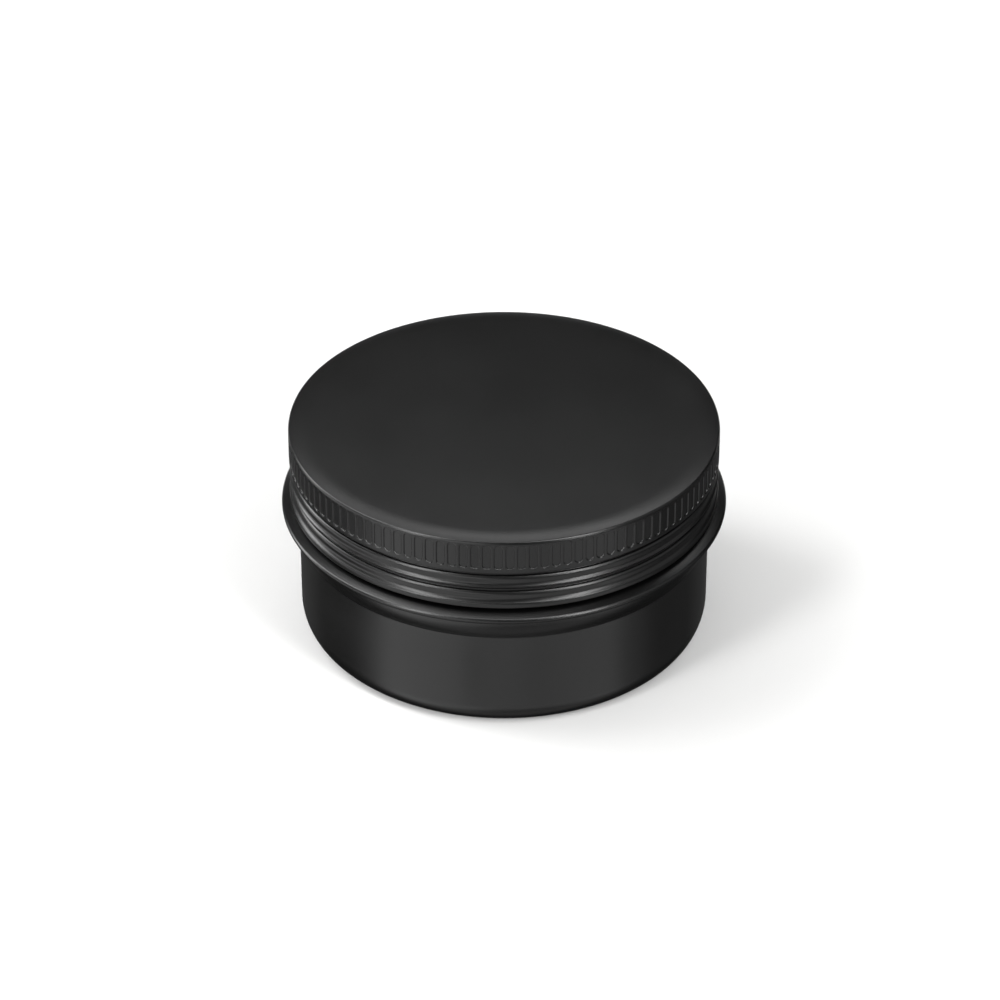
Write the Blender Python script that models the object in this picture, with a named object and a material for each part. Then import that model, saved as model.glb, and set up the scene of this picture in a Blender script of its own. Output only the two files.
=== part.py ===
"""Screw-top aluminium candle tin, nominal 71 x 35 mm, closed.

Three separate pieces: the drawn can, the drawn screw lid and the foam disc
pressed into the lid.  Units are metres, +Z is up, the base stands on z = 0 and
the turning axis of the lid is the Z axis.
"""
import math

import bmesh
import bpy

MM = 0.001
SIDES = 60                # facets round every plain ring
POCKETS = 120             # grip pockets round the lid

LID_R = 34.20 * MM        # outside of the lid
POCKET_LOW = 30.62 * MM
POCKET_HIGH = 34.98 * MM
POCKET_W = 1.40 * MM
POCKET_DEEP = 0.25 * MM
POCKET_DRAFT = 0.80       # floor size against mouth size

PITCH = 3.0 * MM          # screw thread, right hand, single start
RIDGE_H = 0.75 * MM
RIDGE_BASE = 1.30 * MM
RIDGE_CREST = 0.50 * MM
GROOVE_BASE = 1.00 * MM   # the same roll seen from inside the neck
GROOVE_CREST = 0.20 * MM
FADE = 0.10               # turns over which a thread end runs out

NECK_OUT = 32.20 * MM
NECK_IN = 31.75 * MM
NECK_Z0 = 25.90 * MM      # height of the can thread at angle zero
NECK_TURNS = (0.05, 1.40)
LID_IN = 33.25 * MM
LID_Z0 = 24.80 * MM       # height of the lid thread at angle zero
LID_TURNS = (0.15, 1.50)

GRIP_HIGH = 35.12 * MM
GRIP_LOW = 30.12 * MM

CAN_R = 32.82             # millimetres from here to the end of the profiles
WALL = 0.45
SEAM_Z = 17.10            # lower edge of the shoulder collar
CORNER_ACROSS = 2.90
CORNER_UP = 3.90
FLANGE_R = 35.55
FLANGE_Z = 21.55
CROWN_Z = 35.72           # top of the closed tin
CROWN_FLAT_R = 30.30
CORNER_R = 0.35           # tight edge between the lid's top and its grip band
LID_FOOT = 23.40
LINER_R = 32.90
LINER_Z = (33.35, 34.85)


def arc(centre, radii, start, end, steps):
    """Points on an ellipse in the radius-height plane; angles in degrees."""
    points = []
    for i in range(steps + 1):
        a = math.radians(start + (end - start) * i / steps)
        points.append((centre[0] + radii[0] * math.cos(a), centre[1] + radii[1] * math.sin(a)))
    return points


def bow(start, end, bulge, steps):
    """Points on a shallow parabola that bulges to the right of its run."""
    run = (end[0] - start[0], end[1] - start[1])
    length = math.hypot(run[0], run[1])
    points = []
    for i in range(steps + 1):
        t = i / steps
        out = 4.0 * bulge * t * (1.0 - t) / length
        points.append((start[0] + run[0] * t + run[1] * out, start[1] + run[1] * t - run[0] * out))
    return points


def can_outside():
    """Base panel, stand ring, corner, wall, collar, flange, foot of the neck."""
    corner = (CAN_R - CORNER_ACROSS, CORNER_UP)
    profile = [(28.00, 0.70), (28.70, 0.60), (29.25, 0.10), (29.45, 0.00)]
    profile += arc(corner, (CORNER_ACROSS, CORNER_UP), -90.0, 0.0, 4)
    profile += bow((CAN_R, SEAM_Z), (34.35, 20.95), 0.18, 4)
    profile += [(35.25, 21.18), (35.50, 21.30)]
    profile += arc((FLANGE_R - 0.72, FLANGE_Z), (0.72, 0.96), 0.0, 76.0, 4)
    profile += [(34.00, 22.60), (32.90, 22.70), (32.40, 22.78), (32.20, 23.05)]
    return profile


def can_rim():
    """Rolled bead at the mouth, outside to inside."""
    return arc((31.70, 32.50), (0.50, 0.55), 0.0, 240.0, 8) + [(31.75, 31.85)]


def can_inside():
    """Foot of the neck down to the base panel."""
    corner = (CAN_R - CORNER_ACROSS, CORNER_UP)
    radii = (CORNER_ACROSS - WALL, CORNER_UP - WALL)
    profile = [(31.75, 23.00), (31.95, 22.45), (32.55, 22.15), (33.80, 21.95), (33.98, 21.60)]
    profile += bow((33.90, 20.95), (CAN_R - WALL, SEAM_Z + 0.10), -0.18, 4)
    profile += arc(corner, radii, 0.0, -90.0, 4)
    profile += [(29.40, 0.50), (28.80, 1.05), (28.10, 1.15)]
    return profile


def lid_crown():
    """Flat top, the slight fall towards the edge, and most of the tight edge."""
    edge = (LID_R / MM - CORNER_R, GRIP_HIGH / MM)
    slope = bow((CROWN_FLAT_R, CROWN_Z), (33.50, CROWN_Z - 0.22), 0.03, 2)
    return slope + arc(edge, (CORNER_R, CORNER_R), 82.0, 35.0, 1)


def lid_beads():
    """Below the grip band: two level grooves rolled in, then the bottom curl."""
    upper = [(34.17, 29.97), (33.50, 29.90), (33.50, 29.38), (33.78, 29.30), (33.87, 28.90)]
    shelf = [(33.87, 28.02), (34.00, 27.58), (34.19, 27.28), (34.15, 27.12)]
    lower = [(33.50, 27.02), (33.50, 26.48), (33.78, 26.40), (33.87, 26.00)]
    skirt = [(33.87, 24.95), (34.00, 24.38)]
    curl = arc((33.74, LID_FOOT + 0.44), (0.50, 0.44), 40.0, -170.0, 6)
    return upper + shelf + lower + skirt + curl + [(33.25, 24.20)]


def lid_inside():
    """Above the thread up to the underside of the top panel."""
    wall = [(33.25, 30.20), (33.45, 30.45), (33.45, 34.72)]
    return wall + [(33.05, 35.12), (31.50, 35.26), (30.20, CROWN_Z - WALL)]


def liner_edge():
    low, high = LINER_Z
    side = [(LINER_R, low + 0.20), (LINER_R, high - 0.18)]
    return [(LINER_R - 0.30, low)] + side + [(LINER_R - 0.20, high)]


def clear_scene():
    for obj in list(bpy.data.objects):
        bpy.data.objects.remove(obj, do_unlink=True)
    for mesh in list(bpy.data.meshes):
        bpy.data.meshes.remove(mesh)


def point(bm, radius, angle, z):
    return bm.verts.new((radius * math.cos(angle), radius * math.sin(angle), z))


def ring(bm, radius, z, count=SIDES):
    step = 2.0 * math.pi / count
    return [point(bm, radius, i * step, z) for i in range(count)]


def rings(bm, profile):
    return [ring(bm, r * MM, z * MM) for r, z in profile]


def skin(bm, below, above):
    count = len(below)
    for i in range(count):
        j = (i + 1) % count
        bm.faces.new((below[i], below[j], above[j], above[i]))


def skin_all(bm, stack):
    for below, above in zip(stack, stack[1:]):
        skin(bm, below, above)


def skin_double(bm, coarse, fine):
    """Join a ring of SIDES corners to one with twice as many."""
    count = len(coarse)
    for i in range(count):
        j = (i + 1) % count
        a, b, c = fine[2 * i], fine[2 * i + 1], fine[(2 * i + 2) % len(fine)]
        bm.faces.new((coarse[i], a, b))
        bm.faces.new((coarse[i], b, coarse[j]))
        bm.faces.new((coarse[j], b, c))


def thread_height(turn, span):
    rise = (turn - span[0]) / FADE
    fall = (span[1] - turn) / FADE
    return max(0.0, min(1.0, rise, fall))


def thread(bm, low, high, wall, crest, z0, span, base_w, crest_w):
    """Cylinder wall between two rings carrying one helical ridge or groove.

    Every column of the wall is crossed twice by the helix; past its ends the
    helix lies flat in the wall.
    """
    count = len(low)
    offsets = (-base_w / 2.0, -crest_w / 2.0, crest_w / 2.0, base_w / 2.0)
    columns = []
    for i in range(count):
        angle = 2.0 * math.pi * i / count
        passes = []
        for k in range(2):
            turn = k + i / count
            z = z0 + PITCH * turn
            peak = wall + (crest - wall) * thread_height(turn, span)
            radii = (wall, peak, peak, wall)
            passes.append([point(bm, r, angle, z + o) for r, o in zip(radii, offsets)])
        columns.append(passes)
    for i in range(count - 1):
        a, b = columns[i], columns[i + 1]
        left = [low[i]] + a[0] + a[1] + [high[i]]
        right = [low[i + 1]] + b[0] + b[1] + [high[i + 1]]
        for k in range(len(left) - 1):
            bm.faces.new((left[k], right[k], right[k + 1], left[k + 1]))
    a, b = columns[-1], columns[0]
    for k in range(3):
        bm.faces.new((a[0][k], b[1][k], b[1][k + 1], a[0][k + 1]))
    bm.faces.new([low[-1], low[0]] + b[0] + [b[1][0], a[0][0]])
    bm.faces.new([a[0][3], b[1][3], high[0], high[-1]] + a[1][::-1])


def pocket_outline(scale):
    """Eight corners of a pocket with rounded ends, as (across, height) pairs."""
    half = POCKET_W / 2.0 * scale
    middle = (POCKET_LOW + POCKET_HIGH) / 2.0
    reach = (POCKET_HIGH - POCKET_LOW) / 2.0 - (1.0 - scale) * POCKET_W / 2.0
    arch = 0.75 * half
    corners = (
        (-0.45 * half, -reach),
        (0.45 * half, -reach),
        (half, arch - reach),
        (half, reach - arch),
        (0.45 * half, reach),
        (-0.45 * half, reach),
        (-half, reach - arch),
        (-half, arch - reach),
    )
    return [(x, middle + z) for x, z in corners]


def grip_band(bm, low, high):
    """Outer wall between two rings of POCKETS corners, one pocket per facet."""
    step = 2.0 * math.pi / POCKETS
    mouth_points = pocket_outline(1.0)
    floor_points = pocket_outline(POCKET_DRAFT)
    for i in range(POCKETS):
        j = (i + 1) % POCKETS
        centre = (i + 0.5) * step
        mouth = [point(bm, LID_R, centre + x / LID_R, z) for x, z in mouth_points]
        floor_r = LID_R - POCKET_DEEP
        floor = [point(bm, floor_r, centre + x / LID_R, z) for x, z in floor_points]
        for k in range(8):
            n = (k + 1) % 8
            bm.faces.new((mouth[k], mouth[n], floor[n], floor[k]))
        bm.faces.new(floor)
        bm.faces.new((low[i], low[j], mouth[1], mouth[0]))
        bm.faces.new((low[j], mouth[2], mouth[1]))
        bm.faces.new((low[j], high[j], mouth[3], mouth[2]))
        bm.faces.new((high[j], mouth[4], mouth[3]))
        bm.faces.new((high[j], high[i], mouth[5], mouth[4]))
        bm.faces.new((high[i], mouth[6], mouth[5]))
        bm.faces.new((high[i], low[i], mouth[7], mouth[6]))
        bm.faces.new((low[i], mouth[0], mouth[7]))


def finish(bm, name, colour, roughness, metallic):
    bmesh.ops.recalc_face_normals(bm, faces=bm.faces)
    bmesh.ops.triangulate(bm, faces=bm.faces)
    if bm.calc_volume(signed=True) < 0.0:
        bmesh.ops.reverse_faces(bm, faces=bm.faces)
    mesh = bpy.data.meshes.new(name)
    bm.to_mesh(mesh)
    bm.free()
    material = bpy.data.materials.new(name)
    material.use_nodes = True
    shader = material.node_tree.nodes["Principled BSDF"]
    shader.inputs["Base Color"].default_value = (*colour, 1.0)
    shader.inputs["Roughness"].default_value = roughness
    shader.inputs["Metallic"].default_value = metallic
    mesh.materials.append(material)
    mesh.shade_smooth()
    mesh.set_sharp_from_angle(angle=math.radians(32.0))
    obj = bpy.data.objects.new(name, mesh)
    bpy.context.scene.collection.objects.link(obj)
    return obj


def make_can():
    bm = bmesh.new()
    outside = rings(bm, can_outside())
    rim = rings(bm, can_rim())
    inside = rings(bm, can_inside())
    bm.faces.new(outside[0])
    skin_all(bm, outside)
    thread(bm, outside[-1], rim[0], NECK_OUT, NECK_OUT + RIDGE_H, NECK_Z0,
           NECK_TURNS, RIDGE_BASE, RIDGE_CREST)
    skin_all(bm, rim)
    thread(bm, inside[0], rim[-1], NECK_IN, NECK_IN + RIDGE_H, NECK_Z0,
           NECK_TURNS, GROOVE_BASE, GROOVE_CREST)
    skin_all(bm, inside)
    bm.faces.new(inside[-1])
    return finish(bm, "can_body", (0.022, 0.022, 0.023), 0.42, 0.3)


def make_lid():
    bm = bmesh.new()
    crown = rings(bm, lid_crown())
    beads = rings(bm, lid_beads())
    inside = rings(bm, lid_inside())
    grip_high = ring(bm, LID_R, GRIP_HIGH, POCKETS)
    grip_low = ring(bm, LID_R, GRIP_LOW, POCKETS)
    bm.faces.new(crown[0])
    skin_all(bm, crown)
    skin_double(bm, crown[-1], grip_high)
    grip_band(bm, grip_low, grip_high)
    skin_double(bm, beads[0], grip_low)
    skin_all(bm, beads)
    thread(bm, beads[-1], inside[0], LID_IN, LID_IN - RIDGE_H, LID_Z0,
           LID_TURNS, RIDGE_BASE, RIDGE_CREST)
    skin_all(bm, inside)
    bm.faces.new(inside[-1])
    return finish(bm, "lid_shell", (0.022, 0.022, 0.023), 0.42, 0.3)


def make_liner():
    bm = bmesh.new()
    stack = rings(bm, liner_edge())
    bm.faces.new(stack[0])
    skin_all(bm, stack)
    bm.faces.new(stack[-1])
    return finish(bm, "lid_liner", (0.86, 0.86, 0.84), 0.85, 0.0)


clear_scene()
make_can()
make_lid()
make_liner()
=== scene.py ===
"""Looks of the screw-top aluminium candle tin: turned shells with pressed grip
pockets, rolled beads and screw threads, satin black lacquer outside, bare metal
inside and a foam liner, on a pale floor under soft studio light."""
import math

import bmesh
import bpy
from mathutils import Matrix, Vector


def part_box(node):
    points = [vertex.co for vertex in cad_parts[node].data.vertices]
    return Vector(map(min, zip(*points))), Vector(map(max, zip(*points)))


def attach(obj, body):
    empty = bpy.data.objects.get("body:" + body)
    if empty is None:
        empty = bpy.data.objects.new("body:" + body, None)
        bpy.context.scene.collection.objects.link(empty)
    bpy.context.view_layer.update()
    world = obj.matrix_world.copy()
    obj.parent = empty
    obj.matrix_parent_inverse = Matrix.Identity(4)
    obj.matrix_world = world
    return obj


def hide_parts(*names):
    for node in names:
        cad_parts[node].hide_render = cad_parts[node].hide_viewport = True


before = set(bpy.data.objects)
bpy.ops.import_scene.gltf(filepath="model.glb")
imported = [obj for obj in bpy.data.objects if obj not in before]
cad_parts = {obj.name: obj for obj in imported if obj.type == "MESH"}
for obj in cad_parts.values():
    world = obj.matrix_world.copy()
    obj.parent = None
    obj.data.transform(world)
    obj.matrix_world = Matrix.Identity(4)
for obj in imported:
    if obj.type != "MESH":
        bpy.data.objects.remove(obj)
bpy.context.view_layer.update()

MM = 0.001
SIDES = 240                     # corners of every ring, two for each grip pocket
OUTSIDE, INSIDE = 0, 1          # material slots of a shell: lacquer, bare metal
SHARP_ANGLE = 34.0              # degrees; only a crease steeper than this stays crisp

# Screw threads, as in the CAD. Sizes from here to the studio are in millimetres.
PITCH = 3.0
RIDGE_HEIGHT = 0.75
RIDGE_HALF = 0.62               # half the width of a ridge
GROOVE_HALF = 0.48              # the same roll seen from inside the neck
RIDGE_STEPS = 5                 # corners from a ridge's edge to its crest
RIDGE_POWER = 1.35              # above 1 the crest is fuller and the foot steeper
RUN_OUT = 0.10                  # turns over which a thread's end runs out
NECK_OUT, NECK_IN = 32.20, 31.75
NECK_START, NECK_TURNS = 25.90, (0.05, 1.40)
LID_IN = 33.25
LID_START, LID_TURNS = 24.80, (0.15, 1.50)

# The can.
CAN_OUT, CAN_IN = 32.82, 32.37
PANEL_LOW, PANEL_HIGH = 0.70, 1.15      # the panel set into the base
CORNER = (29.92, 3.90)                  # centre of the can's bottom corner
COLLAR_TOP = (34.35, 20.95)
MOUTH, MOUTH_ROLL = (31.70, 32.50), (0.50, 0.55)    # the rolled mouth: centre, radii

# The lid: its top falls away to the edge, and a grip band stands below that.
LID_R, LID_TOP, LID_FOOT = 34.20, 35.83, 23.40
LID_CEILING = 35.27
FALL_FROM, FALL_TO, FALL_DROP = 30.9, 33.88, 0.24
FALL_STEPS, FALL_POWER = 12, 2.2
GRIP_LOW, GRIP_HIGH = 30.25, 35.11
POCKET_LOW, POCKET_HIGH, POCKET_HALF = 30.62, 35.00, 0.70
# Pocket wall from the land to the floor: how far in from the mouth, how deep.
POCKET_WALL = (
    (-0.08, 0.000), (-0.04, 0.004), (0.00, 0.018), (0.03, 0.045), (0.055, 0.085),
    (0.075, 0.130), (0.09, 0.160), (0.11, 0.170), (0.17, 0.170),
)

# The liner, from its CAD node.
LINER_LOW, LINER_HIGH = (corner[2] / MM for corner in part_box("lid_liner"))
LINER_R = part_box("lid_liner")[1][0] / MM

# Studio, in metres and degrees.
FLOOR_HALF = 12.0
FLOOR_GAP = 0.00002             # the floor lies this far below the stand ring
GLOW_NEAR, GLOW_FAR = 0.12, 1.0     # the paper's own light at the tin, and far away
GLOW_FROM, GLOW_TO = 0.11, 0.60     # distances between which it grows
AMBIENT, BACKDROP = 0.02, 1.0   # the world as light, and as the camera sees it
LIGHTS_AIM = Vector((0.0, 0.0, 0.02))
CAMERA_AIM = Vector((-0.00064, 0.0, 0.020741))
CAMERA_ELEVATION = 33.53
CAMERA_DISTANCE = 0.64145
SENSOR, LENS = 36.0, 144.0      # millimetres, as Blender's camera has them

# Softboxes: name, azimuth, elevation, distance, width and height as angles at
# the tin, radiance. Azimuth 0 is the camera's side, positive to its right. The
# ones below the table stand for the light that a white table throws back up.
SOFTBOXES = (
    ("back_low", 169.0, 50.5, 0.45, 60.0, 9.0, 3.1),
    ("back_high", -152.0, 62.0, 0.45, 56.0, 12.0, 1.3),
    ("overhead", -28.0, 80.0, 1.2, 60.0, 22.0, 3.8),
    ("strip_left", -45.0, 26.0, 1.2, 12.0, 56.0, 13.0),
    ("strip_right", 39.0, 30.0, 1.2, 12.0, 60.0, 13.5),
    ("side_left", -112.0, 20.0, 1.2, 18.0, 44.0, 8.0),
    ("side_right", 84.0, 20.0, 1.2, 40.0, 50.0, 0.4),
    ("high_right", 64.0, 62.0, 1.2, 40.0, 20.0, 0.5),
    ("table_key", -98.0, 52.0, 1.2, 24.0, 24.0, 7.0),
    ("front_low", -20.0, -4.0, 1.2, 24.0, 24.0, 1.9),
    ("behind", 180.0, -10.0, 1.2, 60.0, 40.0, 1.0),
    ("bounce_left", -46.0, -38.0, 1.2, 44.0, 44.0, 1.15),
    ("bounce_right", 42.0, -34.0, 1.2, 42.0, 36.0, 0.84),
    ("bounce_front", 0.0, -32.0, 1.2, 24.0, 40.0, 0.92),
    ("bounce_side_left", -90.0, -14.0, 1.2, 60.0, 24.0, 1.5),
    ("bounce_side_right", 100.0, -20.0, 1.2, 40.0, 50.0, 0.08),
    ("bounce_back", 180.0, -33.0, 1.2, 100.0, 30.0, 0.07),
    ("bounce_under", 0.0, -74.0, 1.2, 120.0, 24.0, 0.30),
)


# ---------------------------------------------------------------- profiles

def fillet(points, steps=5):
    """Round the corners of a profile given as (radius, height, corner radius)."""
    longest_cut = 0.46          # share of a side, so that two roundings never meet
    out = []
    for i, (r, z, size) in enumerate(points):
        if size <= 0.0 or i in (0, len(points) - 1):
            out.append((r, z))
            continue
        here = Vector((r, z))
        back = Vector(points[i - 1][:2]) - here
        ahead = Vector(points[i + 1][:2]) - here
        angle = back.angle(ahead)
        cut = min(size / math.tan(angle / 2.0), longest_cut * back.length, longest_cut * ahead.length)
        start = here + back.normalized() * cut
        end = here + ahead.normalized() * cut
        for k in range(steps + 1):
            t = k / steps
            out.append(tuple(start.lerp(here, t).lerp(here.lerp(end, t), t)))
    return out


def arc(centre, radii, start, end, steps):
    """Part of an ellipse, between two angles in degrees."""
    points = []
    for i in range(steps + 1):
        a = math.radians(start + (end - start) * i / steps)
        points.append((centre[0] + radii[0] * math.cos(a), centre[1] + radii[1] * math.sin(a)))
    return points


def bow(start, end, bulge, steps):
    """A line bent into a parabola that stands bulge off it at the middle."""
    run = (end[0] - start[0], end[1] - start[1])
    length = math.hypot(*run)
    points = []
    for i in range(steps + 1):
        t = i / steps
        out = 4.0 * bulge * t * (1.0 - t) / length
        points.append((start[0] + run[0] * t + run[1] * out, start[1] + run[1] * t - run[0] * out))
    return points


# ---------------------------------------------------------------- mesh

def point(bm, radius, angle, z):
    return bm.verts.new((radius * MM * math.cos(angle), radius * MM * math.sin(angle), z * MM))


def ring(bm, radius, z):
    return [point(bm, radius, 2.0 * math.pi * i / SIDES, z) for i in range(SIDES)]


def face(bm, corners, slot):
    made = bm.faces.new(corners)
    made.material_index = slot
    made.smooth = True


def skin(bm, below, above, slot):
    for i in range(SIDES):
        j = (i + 1) % SIDES
        face(bm, (below[i], below[j], above[j], above[i]), slot)


def turned(bm, profile, slot, first=None):
    """Skin a profile and return its end rings; first is a ring that already
    stands at its start."""
    stack = [ring(bm, r, z) for r, z in (profile[1:] if first else profile)]
    if first:
        stack.insert(0, first)
    for below, above in zip(stack, stack[1:]):
        skin(bm, below, above, slot)
    return stack[0], stack[-1]


def run_out(turn, span):
    """Share of its full height that a thread has at a turn: 0 outside its span."""
    value = max(0.0, min(1.0, (turn - span[0]) / RUN_OUT, (span[1] - turn) / RUN_OUT))
    return value * value * (3.0 - 2.0 * value)


def thread(bm, low, high, wall, height, start, span, half, slot):
    """Cylinder wall between two rings with one rounded helical ridge or groove.
    It passes every column of corners twice, one pitch apart, and the first pass
    of the last column runs on into the second pass of column 0."""
    shape = []
    for t in range(-RIDGE_STEPS, RIDGE_STEPS + 1):
        swell = 0.5 + 0.5 * math.cos(math.pi * (abs(t) / RIDGE_STEPS) ** RIDGE_POWER)
        shape.append((t / RIDGE_STEPS, swell))
    last = len(shape) - 1
    columns = []
    for i in range(SIDES):
        angle = 2.0 * math.pi * i / SIDES
        passes = []
        for k in range(2):
            turn = k + i / SIDES
            rise = height * run_out(turn, span)
            z = start + PITCH * turn
            passes.append([point(bm, wall + rise * w, angle, z + half * t) for t, w in shape])
        columns.append(passes)
    for i in range(SIDES - 1):
        a, b = columns[i], columns[i + 1]
        left = [low[i]] + a[0] + a[1] + [high[i]]
        right = [low[i + 1]] + b[0] + b[1] + [high[i + 1]]
        for k in range(len(left) - 1):
            face(bm, (left[k], right[k], right[k + 1], left[k + 1]), slot)
    a, b = columns[-1], columns[0]
    for k in range(last):
        face(bm, (a[0][k], b[1][k], b[1][k + 1], a[0][k + 1]), slot)
    face(bm, [low[-1], low[0]] + b[0] + [b[1][0], a[0][0]], slot)
    face(bm, [a[0][last], b[1][last], high[0], high[-1]] + a[1][::-1], slot)


def half_outline(inset):
    """Right half of a pocket's outline, bottom to top, as (across, height)."""
    r = POCKET_HALF - inset
    low, high = POCKET_LOW + POCKET_HALF, POCKET_HIGH - POCKET_HALF
    return arc((0.0, low), (r, r), -90.0, 0.0, 6) + arc((0.0, high), (r, r), 0.0, 90.0, 6)


def pocket_surround(bm, low, high, edges, right, left, slot):
    """Land between a pocket's mouth and its cell: low and high are the three
    corners of the rings below and above, edges the cell's left and right side,
    right and left the halves of the mouth's outline."""
    edge_l, edge_r = edges
    n = len(right) // 2
    face(bm, [low[1], low[2], edge_r[0]] + right[n - 1::-1], slot)
    face(bm, [low[0], low[1]] + left[:n] + [edge_l[0]], slot)
    face(bm, [edge_r[0], edge_r[1], right[n], right[n - 1]], slot)
    face(bm, [edge_l[1], edge_l[0], left[n - 1], left[n]], slot)
    face(bm, [edge_r[1], high[2], high[1]] + right[:n - 1:-1], slot)
    face(bm, [high[0], edge_l[1]] + left[n:] + [high[1]], slot)


def grip_band(bm, low, high, slot):
    """Wall between two rings with one round-ended pocket for every two corners."""
    sides = []
    heights = (POCKET_LOW + POCKET_HALF, POCKET_HIGH - POCKET_HALF)
    for i in range(0, SIDES, 2):
        angle = 2.0 * math.pi * i / SIDES
        sides.append([point(bm, LID_R, angle, z) for z in heights])
    for cell in range(SIDES // 2):
        corners = [2 * cell, 2 * cell + 1, (2 * cell + 2) % SIDES]
        centre = 2.0 * math.pi * corners[1] / SIDES
        edges = sides[cell], sides[(cell + 1) % len(sides)]
        previous = None
        for inset, depth in POCKET_WALL:
            half = half_outline(inset)
            r = LID_R - depth
            a = [point(bm, r, centre + x / LID_R, z) for x, z in half]
            b = [a[0]] + [point(bm, r, centre - x / LID_R, z) for x, z in half[1:-1]] + [a[-1]]
            if previous is None:
                below, above = [low[c] for c in corners], [high[c] for c in corners]
                pocket_surround(bm, below, above, edges, a, b, slot)
            else:
                for side, other in ((a, previous[0]), (b, previous[1])):
                    for k in range(len(side) - 1):
                        face(bm, (other[k], other[k + 1], side[k + 1], side[k]), slot)
            previous = (a, b)
        a, b = previous
        face(bm, (a[0], a[1], b[1]), slot)
        for k in range(1, len(a) - 2):
            face(bm, (b[k], a[k], a[k + 1], b[k + 1]), slot)
        face(bm, (b[-2], a[-2], a[-1]), slot)


def add_object(name, data):
    obj = bpy.data.objects.new(name, data)
    bpy.context.scene.collection.objects.link(obj)
    return obj


def make_object(bm, name, materials):
    bmesh.ops.recalc_face_normals(bm, faces=bm.faces)
    if bm.calc_volume(signed=True) < 0.0:
        bmesh.ops.reverse_faces(bm, faces=bm.faces)
    mesh = bpy.data.meshes.new(name)
    bm.to_mesh(mesh)
    bm.free()
    for material in materials:
        mesh.materials.append(material)
    mesh.set_sharp_from_angle(angle=math.radians(SHARP_ANGLE))
    return add_object(name, mesh)


# ---------------------------------------------------------------- materials

def new_material(name, colour, roughness, metallic, specular=0.5):
    material = bpy.data.materials.new(name)
    material.use_nodes = True
    tree = material.node_tree
    shader = tree.nodes["Principled BSDF"]
    shader.inputs["Base Color"].default_value = (*colour, 1.0)
    shader.inputs["Roughness"].default_value = roughness
    shader.inputs["Metallic"].default_value = metallic
    shader.inputs["Specular IOR Level"].default_value = specular
    coords = tree.nodes.new("ShaderNodeTexCoord")
    return material, tree, shader, coords


def noise(tree, coords, scale, detail=3.0, stretch=(1.0, 1.0, 1.0)):
    mapping = tree.nodes.new("ShaderNodeMapping")
    mapping.inputs["Scale"].default_value = stretch
    texture = tree.nodes.new("ShaderNodeTexNoise")
    texture.inputs["Scale"].default_value = scale
    texture.inputs["Detail"].default_value = detail
    tree.links.new(coords.outputs["Object"], mapping.inputs["Vector"])
    tree.links.new(mapping.outputs["Vector"], texture.inputs["Vector"])
    return texture.outputs["Fac"]


def spread(tree, value, low, high, start=0.3, end=0.7):
    """A number that goes from low to high as the value goes from start to end."""
    node = tree.nodes.new("ShaderNodeMapRange")
    node.inputs["From Min"].default_value = start
    node.inputs["From Max"].default_value = end
    node.inputs["To Min"].default_value = low
    node.inputs["To Max"].default_value = high
    tree.links.new(value, node.inputs["Value"])
    return node.outputs["Result"]


def blend_colours(tree, value, first, second, start=0.3, end=0.7):
    """A colour that goes from first to second as the value goes from start to end."""
    ramp = tree.nodes.new("ShaderNodeValToRGB")
    ramp.color_ramp.elements[0].position = start
    ramp.color_ramp.elements[0].color = (*first, 1.0)
    ramp.color_ramp.elements[1].position = end
    ramp.color_ramp.elements[1].color = (*second, 1.0)
    tree.links.new(value, ramp.inputs["Fac"])
    return ramp.outputs["Color"]


def bump(tree, shader, value, distance, strength=0.5, under=None):
    """Relief of the given depth in metres, over the one of another bump node."""
    node = tree.nodes.new("ShaderNodeBump")
    node.inputs["Distance"].default_value = distance
    node.inputs["Strength"].default_value = strength
    tree.links.new(value, node.inputs["Height"])
    if under is not None:
        tree.links.new(under.outputs["Normal"], node.inputs["Normal"])
    tree.links.new(node.outputs["Normal"], shader.inputs["Normal"])
    return node


def satin_lacquer():
    """Black stoving lacquer: a fine mineral grain over a faint slow ripple."""
    material, tree, shader, coords = new_material(
        "black_lacquer", (0.001, 0.001, 0.001), roughness=0.31, metallic=0.0)
    grain = noise(tree, coords, scale=3400.0, detail=2.0)
    ripple = noise(tree, coords, scale=60.0)
    colour = blend_colours(tree, grain, (0.0004, 0.0004, 0.0004), (0.0014, 0.0014, 0.0014))
    tree.links.new(colour, shader.inputs["Base Color"])
    tree.links.new(spread(tree, ripple, low=0.295, high=0.325), shader.inputs["Roughness"])
    first = bump(tree, shader, ripple, distance=0.00002)
    bump(tree, shader, grain, distance=0.000008, under=first)
    return material


def bare_metal():
    """Drawn aluminium under a clear lacquer, with faint turning lines."""
    material, tree, shader, coords = new_material(
        "bare_aluminium", (0.78, 0.78, 0.79), roughness=0.30, metallic=1.0)
    lines = noise(tree, coords, scale=900.0, stretch=(0.25, 0.25, 3.0))
    cloud = noise(tree, coords, scale=90.0, detail=2.0)
    colour = blend_colours(tree, cloud, (0.72, 0.72, 0.73), (0.84, 0.84, 0.845))
    tree.links.new(colour, shader.inputs["Base Color"])
    tree.links.new(spread(tree, lines, low=0.26, high=0.38), shader.inputs["Roughness"])
    bump(tree, shader, lines, distance=0.000012)
    return material


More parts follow.
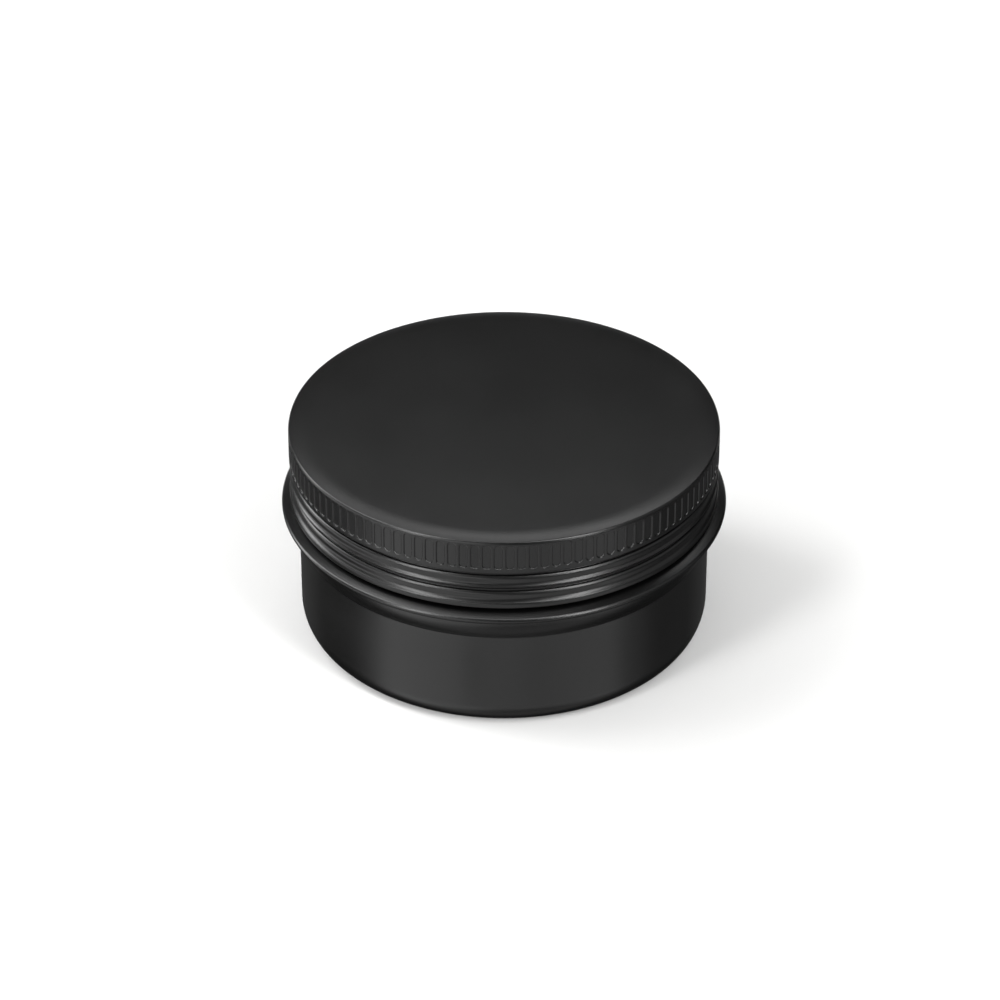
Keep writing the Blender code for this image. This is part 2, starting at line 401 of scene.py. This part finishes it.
def foam():
    """White closed-cell polyethylene foam."""
    material, tree, shader, coords = new_material(
        "liner_foam", (0.84, 0.84, 0.82), roughness=0.7, metallic=0.0, specular=0.35)
    cells = tree.nodes.new("ShaderNodeTexVoronoi")
    cells.inputs["Scale"].default_value = 1900.0
    tree.links.new(coords.outputs["Object"], cells.inputs["Vector"])
    depth = cells.outputs["Distance"]
    colour = blend_colours(tree, depth, (0.90, 0.90, 0.88), (0.76, 0.76, 0.735), start=0.1, end=0.8)
    tree.links.new(colour, shader.inputs["Base Color"])
    cloud = noise(tree, coords, scale=220.0)
    tree.links.new(spread(tree, cloud, low=0.62, high=0.8), shader.inputs["Roughness"])
    bump(tree, shader, depth, distance=0.00006, strength=0.6)
    return material


# ---------------------------------------------------------------- can

def can_outside():
    """From the base's middle round the corner and up to the foot of the neck."""
    base = fillet([
        (1.50, PANEL_LOW, 0.0), (14.00, PANEL_LOW, 0.0), (28.20, PANEL_LOW, 0.60),
        (28.95, 0.16, 0.30), (29.30, 0.00, 0.15), (29.70, 0.00, 0.0)])
    corner = arc(CORNER, (2.90, 3.90), -90.0, 0.0, 18)
    wall = [(CAN_OUT, 8.0), (CAN_OUT, 12.5), (CAN_OUT, 16.80), (32.83, 16.95)]
    collar = bow((32.88, 17.07), COLLAR_TOP, 0.28, 12)
    flange = fillet([
        (*COLLAR_TOP, 0.0), (34.43, 21.12, 0.10), (35.20, 21.24, 0.15), (35.40, 21.43, 0.0)], 4)
    flange += arc((35.02, 21.80), (0.53, 0.53), -40.0, 66.0, 12)
    flange += bow((35.22, 22.29), (34.30, 22.65), 0.02, 5)
    flange += fillet([
        (34.20, 22.68, 0.0), (33.60, 22.79, 0.30), (32.95, 22.86, 0.40),
        (NECK_OUT, 22.89, 0.30), (NECK_OUT, 23.10, 0.0)], 6)
    return base + corner + wall + collar + flange[1:]


def can_inside():
    """From the foot of the neck, behind the collar, to the middle of the base."""
    inside = fillet([
        (NECK_IN, 22.90, 0.0), (NECK_IN, 22.40, 0.40), (32.50, 21.85, 0.50),
        (33.90, 21.40, 0.30), (33.90, 20.95, 0.0)])
    inside += bow((33.90, 20.90), (CAN_IN, 17.15), -0.18, 8)
    inside += [(CAN_IN, 12.5), (CAN_IN, 8.0)]
    inside += arc(CORNER, (2.45, 3.45), 0.0, -90.0, 16)
    inside += fillet([
        (29.60, 0.45, 0.0), (29.20, 0.55, 0.30), (28.45, PANEL_HIGH, 0.50),
        (27.60, PANEL_HIGH, 0.0), (14.0, PANEL_HIGH, 0.0), (1.5, PANEL_HIGH, 0.0)])
    return inside


def make_can(lacquer, metal):
    bm = bmesh.new()
    base_middle, neck_foot = turned(bm, can_outside(), OUTSIDE)
    face(bm, base_middle, OUTSIDE)
    lip, top = turned(bm, arc(MOUTH, MOUTH_ROLL, 0.0, 100.0, 8), OUTSIDE)
    thread(bm, neck_foot, lip, NECK_OUT, RIDGE_HEIGHT, NECK_START, NECK_TURNS, RIDGE_HALF, OUTSIDE)
    curl = arc(MOUTH, MOUTH_ROLL, 100.0, 240.0, 12) + [(31.72, 31.86)]
    top, curl_end = turned(bm, curl, INSIDE, first=top)
    neck_foot, floor_middle = turned(bm, can_inside(), INSIDE)
    thread(bm, neck_foot, curl_end, NECK_IN, RIDGE_HEIGHT, NECK_START, NECK_TURNS, GROOVE_HALF, INSIDE)
    face(bm, floor_middle, INSIDE)
    can = make_object(bm, "can_shell", (lacquer, metal))
    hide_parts("can_body")
    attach(can, "can")


# ---------------------------------------------------------------- lid and liner

def lid_crown():
    """From the middle of the top to the upper edge of the grip band."""
    crown = [(1.5, LID_TOP), (12.0, LID_TOP), (22.0, LID_TOP), (28.0, LID_TOP)]
    for i in range(FALL_STEPS + 1):
        t = i / FALL_STEPS
        crown.append((FALL_FROM + (FALL_TO - FALL_FROM) * t, LID_TOP - FALL_DROP * t ** FALL_POWER))
    crown += arc((33.86, 35.33), (0.26, 0.26), 80.0, 10.0, 10)
    return crown + [(34.18, 35.22), (LID_R, GRIP_HIGH)]


def lid_beads():
    """From the lower edge of the grip band over two rolled beads, with a groove
    above each, and round the lid's lower edge."""
    beads = fillet([
        (LID_R, GRIP_LOW, 0.0), (34.20, 30.04, 0.12), (33.75, 29.76, 0.10), (33.32, 29.64, 0.06),
        (33.32, 29.13, 0.06), (33.50, 29.12, 0.0)], 5)
    beads += arc((33.47, 28.46), (0.40, 0.66), 80.0, 0.0, 8)
    beads += arc((34.67, 28.08), (0.80, 0.80), 180.0, 228.0, 8)
    beads += arc((34.04, 27.37), (0.14, 0.14), 40.0, -40.0, 6)
    beads += fillet([
        (34.14, 27.27, 0.0), (33.76, 26.80, 0.10), (33.36, 26.66, 0.06), (33.36, 26.26, 0.06),
        (33.50, 26.25, 0.0)], 5)
    beads += arc((33.48, 25.60), (0.40, 0.64), 80.0, 0.0, 8)
    beads += arc((34.76, 25.15), (0.95, 0.95), 178.0, 230.0, 9)
    beads += arc((34.08, 24.08), (0.16, 0.36), 64.0, 0.0, 6)
    beads += fillet([
        (34.24, 24.00, 0.0), (34.24, LID_FOOT, 0.24), (LID_IN, LID_FOOT, 0.24),
        (LID_IN, 24.12, 0.0)], 6)
    return beads


def lid_inside():
    """From the top of the thread to the middle of the lid's ceiling."""
    return fillet([
        (LID_IN, 30.12, 0.0), (LID_IN, 30.25, 0.1), (33.45, 30.50, 0.2), (33.45, 32.5, 0.0),
        (33.45, 35.07, 0.45), (31.50, 35.26, 0.6), (29.00, LID_CEILING, 0.0),
        (14.0, LID_CEILING, 0.0), (1.5, LID_CEILING, 0.0)])


def make_lid(lacquer, metal):
    bm = bmesh.new()
    top_middle, grip_high = turned(bm, lid_crown(), OUTSIDE)
    face(bm, top_middle, OUTSIDE)
    grip_low, foot = turned(bm, lid_beads(), OUTSIDE)
    grip_band(bm, grip_low, grip_high, OUTSIDE)
    thread_end, ceiling_middle = turned(bm, lid_inside(), INSIDE)
    thread(bm, foot, thread_end, LID_IN, -RIDGE_HEIGHT, LID_START, LID_TURNS, RIDGE_HALF, INSIDE)
    face(bm, ceiling_middle, INSIDE)
    lid = make_object(bm, "screw_lid", (lacquer, metal))
    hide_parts("lid_shell")
    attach(lid, "lid")


def make_liner(material):
    """Foam disc with the shallow ring that the can's mouth presses into it."""
    bm = bmesh.new()
    pressed = LINER_LOW + 0.10
    profile = fillet([
        (2.0, LINER_LOW, 0.0), (16.0, LINER_LOW, 0.0), (30.85, LINER_LOW, 0.5),
        (31.15, pressed, 0.3), (32.20, pressed, 0.3), (32.50, LINER_LOW, 0.3),
        (LINER_R, LINER_LOW + 0.05, 0.2), (LINER_R, (LINER_LOW + LINER_HIGH) / 2.0, 0.0),
        (LINER_R, LINER_HIGH, 0.18), (16.0, LINER_HIGH, 0.0), (2.0, LINER_HIGH, 0.0)])
    lower_middle, upper_middle = turned(bm, profile, 0)
    face(bm, lower_middle, 0)
    face(bm, upper_middle, 0)
    liner = make_object(bm, "foam_liner", (material,))
    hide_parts("lid_liner")
    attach(liner, "liner")


# ---------------------------------------------------------------- studio

def make_floor():
    """White paper whose own light grows away from the tin, so that it is pale
    everywhere and still takes the tin's shadow."""
    bm = bmesh.new()
    bmesh.ops.create_grid(bm, x_segments=8, y_segments=8, size=FLOOR_HALF)
    for vert in bm.verts:
        vert.co.z = -FLOOR_GAP
    mesh = bpy.data.meshes.new("floor")
    bm.to_mesh(mesh)
    bm.free()
    material, tree, shader, coords = new_material(
        "floor_paper", (0.58, 0.58, 0.58), roughness=0.9, metallic=0.0, specular=0.0)
    cloud = noise(tree, coords, scale=6.0)
    colour = blend_colours(tree, cloud, (0.575, 0.575, 0.57), (0.585, 0.585, 0.58))
    tree.links.new(colour, shader.inputs["Base Color"])
    shader.inputs["Emission Color"].default_value = (1.0, 1.0, 1.0, 1.0)
    reach = tree.nodes.new("ShaderNodeVectorMath")
    reach.operation = "LENGTH"
    tree.links.new(coords.outputs["Object"], reach.inputs[0])
    glow = spread(tree, reach.outputs["Value"], GLOW_NEAR, GLOW_FAR, GLOW_FROM, GLOW_TO)
    tree.links.new(glow, shader.inputs["Emission Strength"])
    mesh.materials.append(material)
    floor = add_object("floor", mesh)
    floor.visible_glossy = False
    floor.visible_shadow = False


def softbox(name, azimuth, elevation, distance, across, up, radiance):
    """Area light aimed at the tin."""
    a, e = math.radians(azimuth), math.radians(elevation)
    side = Vector((math.sin(a) * math.cos(e), -math.cos(a) * math.cos(e), math.sin(e)))
    place = LIGHTS_AIM + distance * side
    light = bpy.data.lights.new(name, "AREA")
    light.shape = "RECTANGLE"
    light.size = 2.0 * distance * math.tan(math.radians(across / 2.0))
    light.size_y = 2.0 * distance * math.tan(math.radians(up / 2.0))
    light.energy = math.pi * light.size * light.size_y * radiance
    obj = add_object(name, light)
    obj.location = place
    obj.rotation_euler = (LIGHTS_AIM - place).to_track_quat("-Z", "Y").to_euler()


def make_world():
    """White to the camera, and nearly dark as a light."""
    world = bpy.data.worlds.new("studio")
    world.use_nodes = True
    tree = world.node_tree
    path = tree.nodes.new("ShaderNodeLightPath")
    background = tree.nodes["Background"]
    background.inputs["Color"].default_value = (1.0, 1.0, 1.0, 1.0)
    strength = spread(tree, path.outputs["Is Camera Ray"], AMBIENT, BACKDROP, 0.0, 1.0)
    tree.links.new(strength, background.inputs["Strength"])
    bpy.context.scene.world = world


def make_camera():
    elevation = math.radians(CAMERA_ELEVATION)
    back = Vector((0.0, -math.cos(elevation), math.sin(elevation)))
    data = bpy.data.cameras.new("camera")
    data.sensor_width = SENSOR
    data.lens = LENS
    data.clip_start = 0.01
    data.clip_end = 20.0
    camera = add_object("camera", data)
    camera.location = CAMERA_AIM + CAMERA_DISTANCE * back
    camera.rotation_euler = (math.pi / 2.0 - elevation, 0.0, 0.0)
    bpy.context.scene.camera = camera


lacquer = satin_lacquer()
metal = bare_metal()
make_can(lacquer, metal)
make_lid(lacquer, metal)
make_liner(foam())
make_floor()
for box in SOFTBOXES:
    softbox(*box)
make_world()
make_camera()
bpy.context.scene.view_settings.view_transform = "Standard"
bpy.context.scene.view_settings.look = "None"
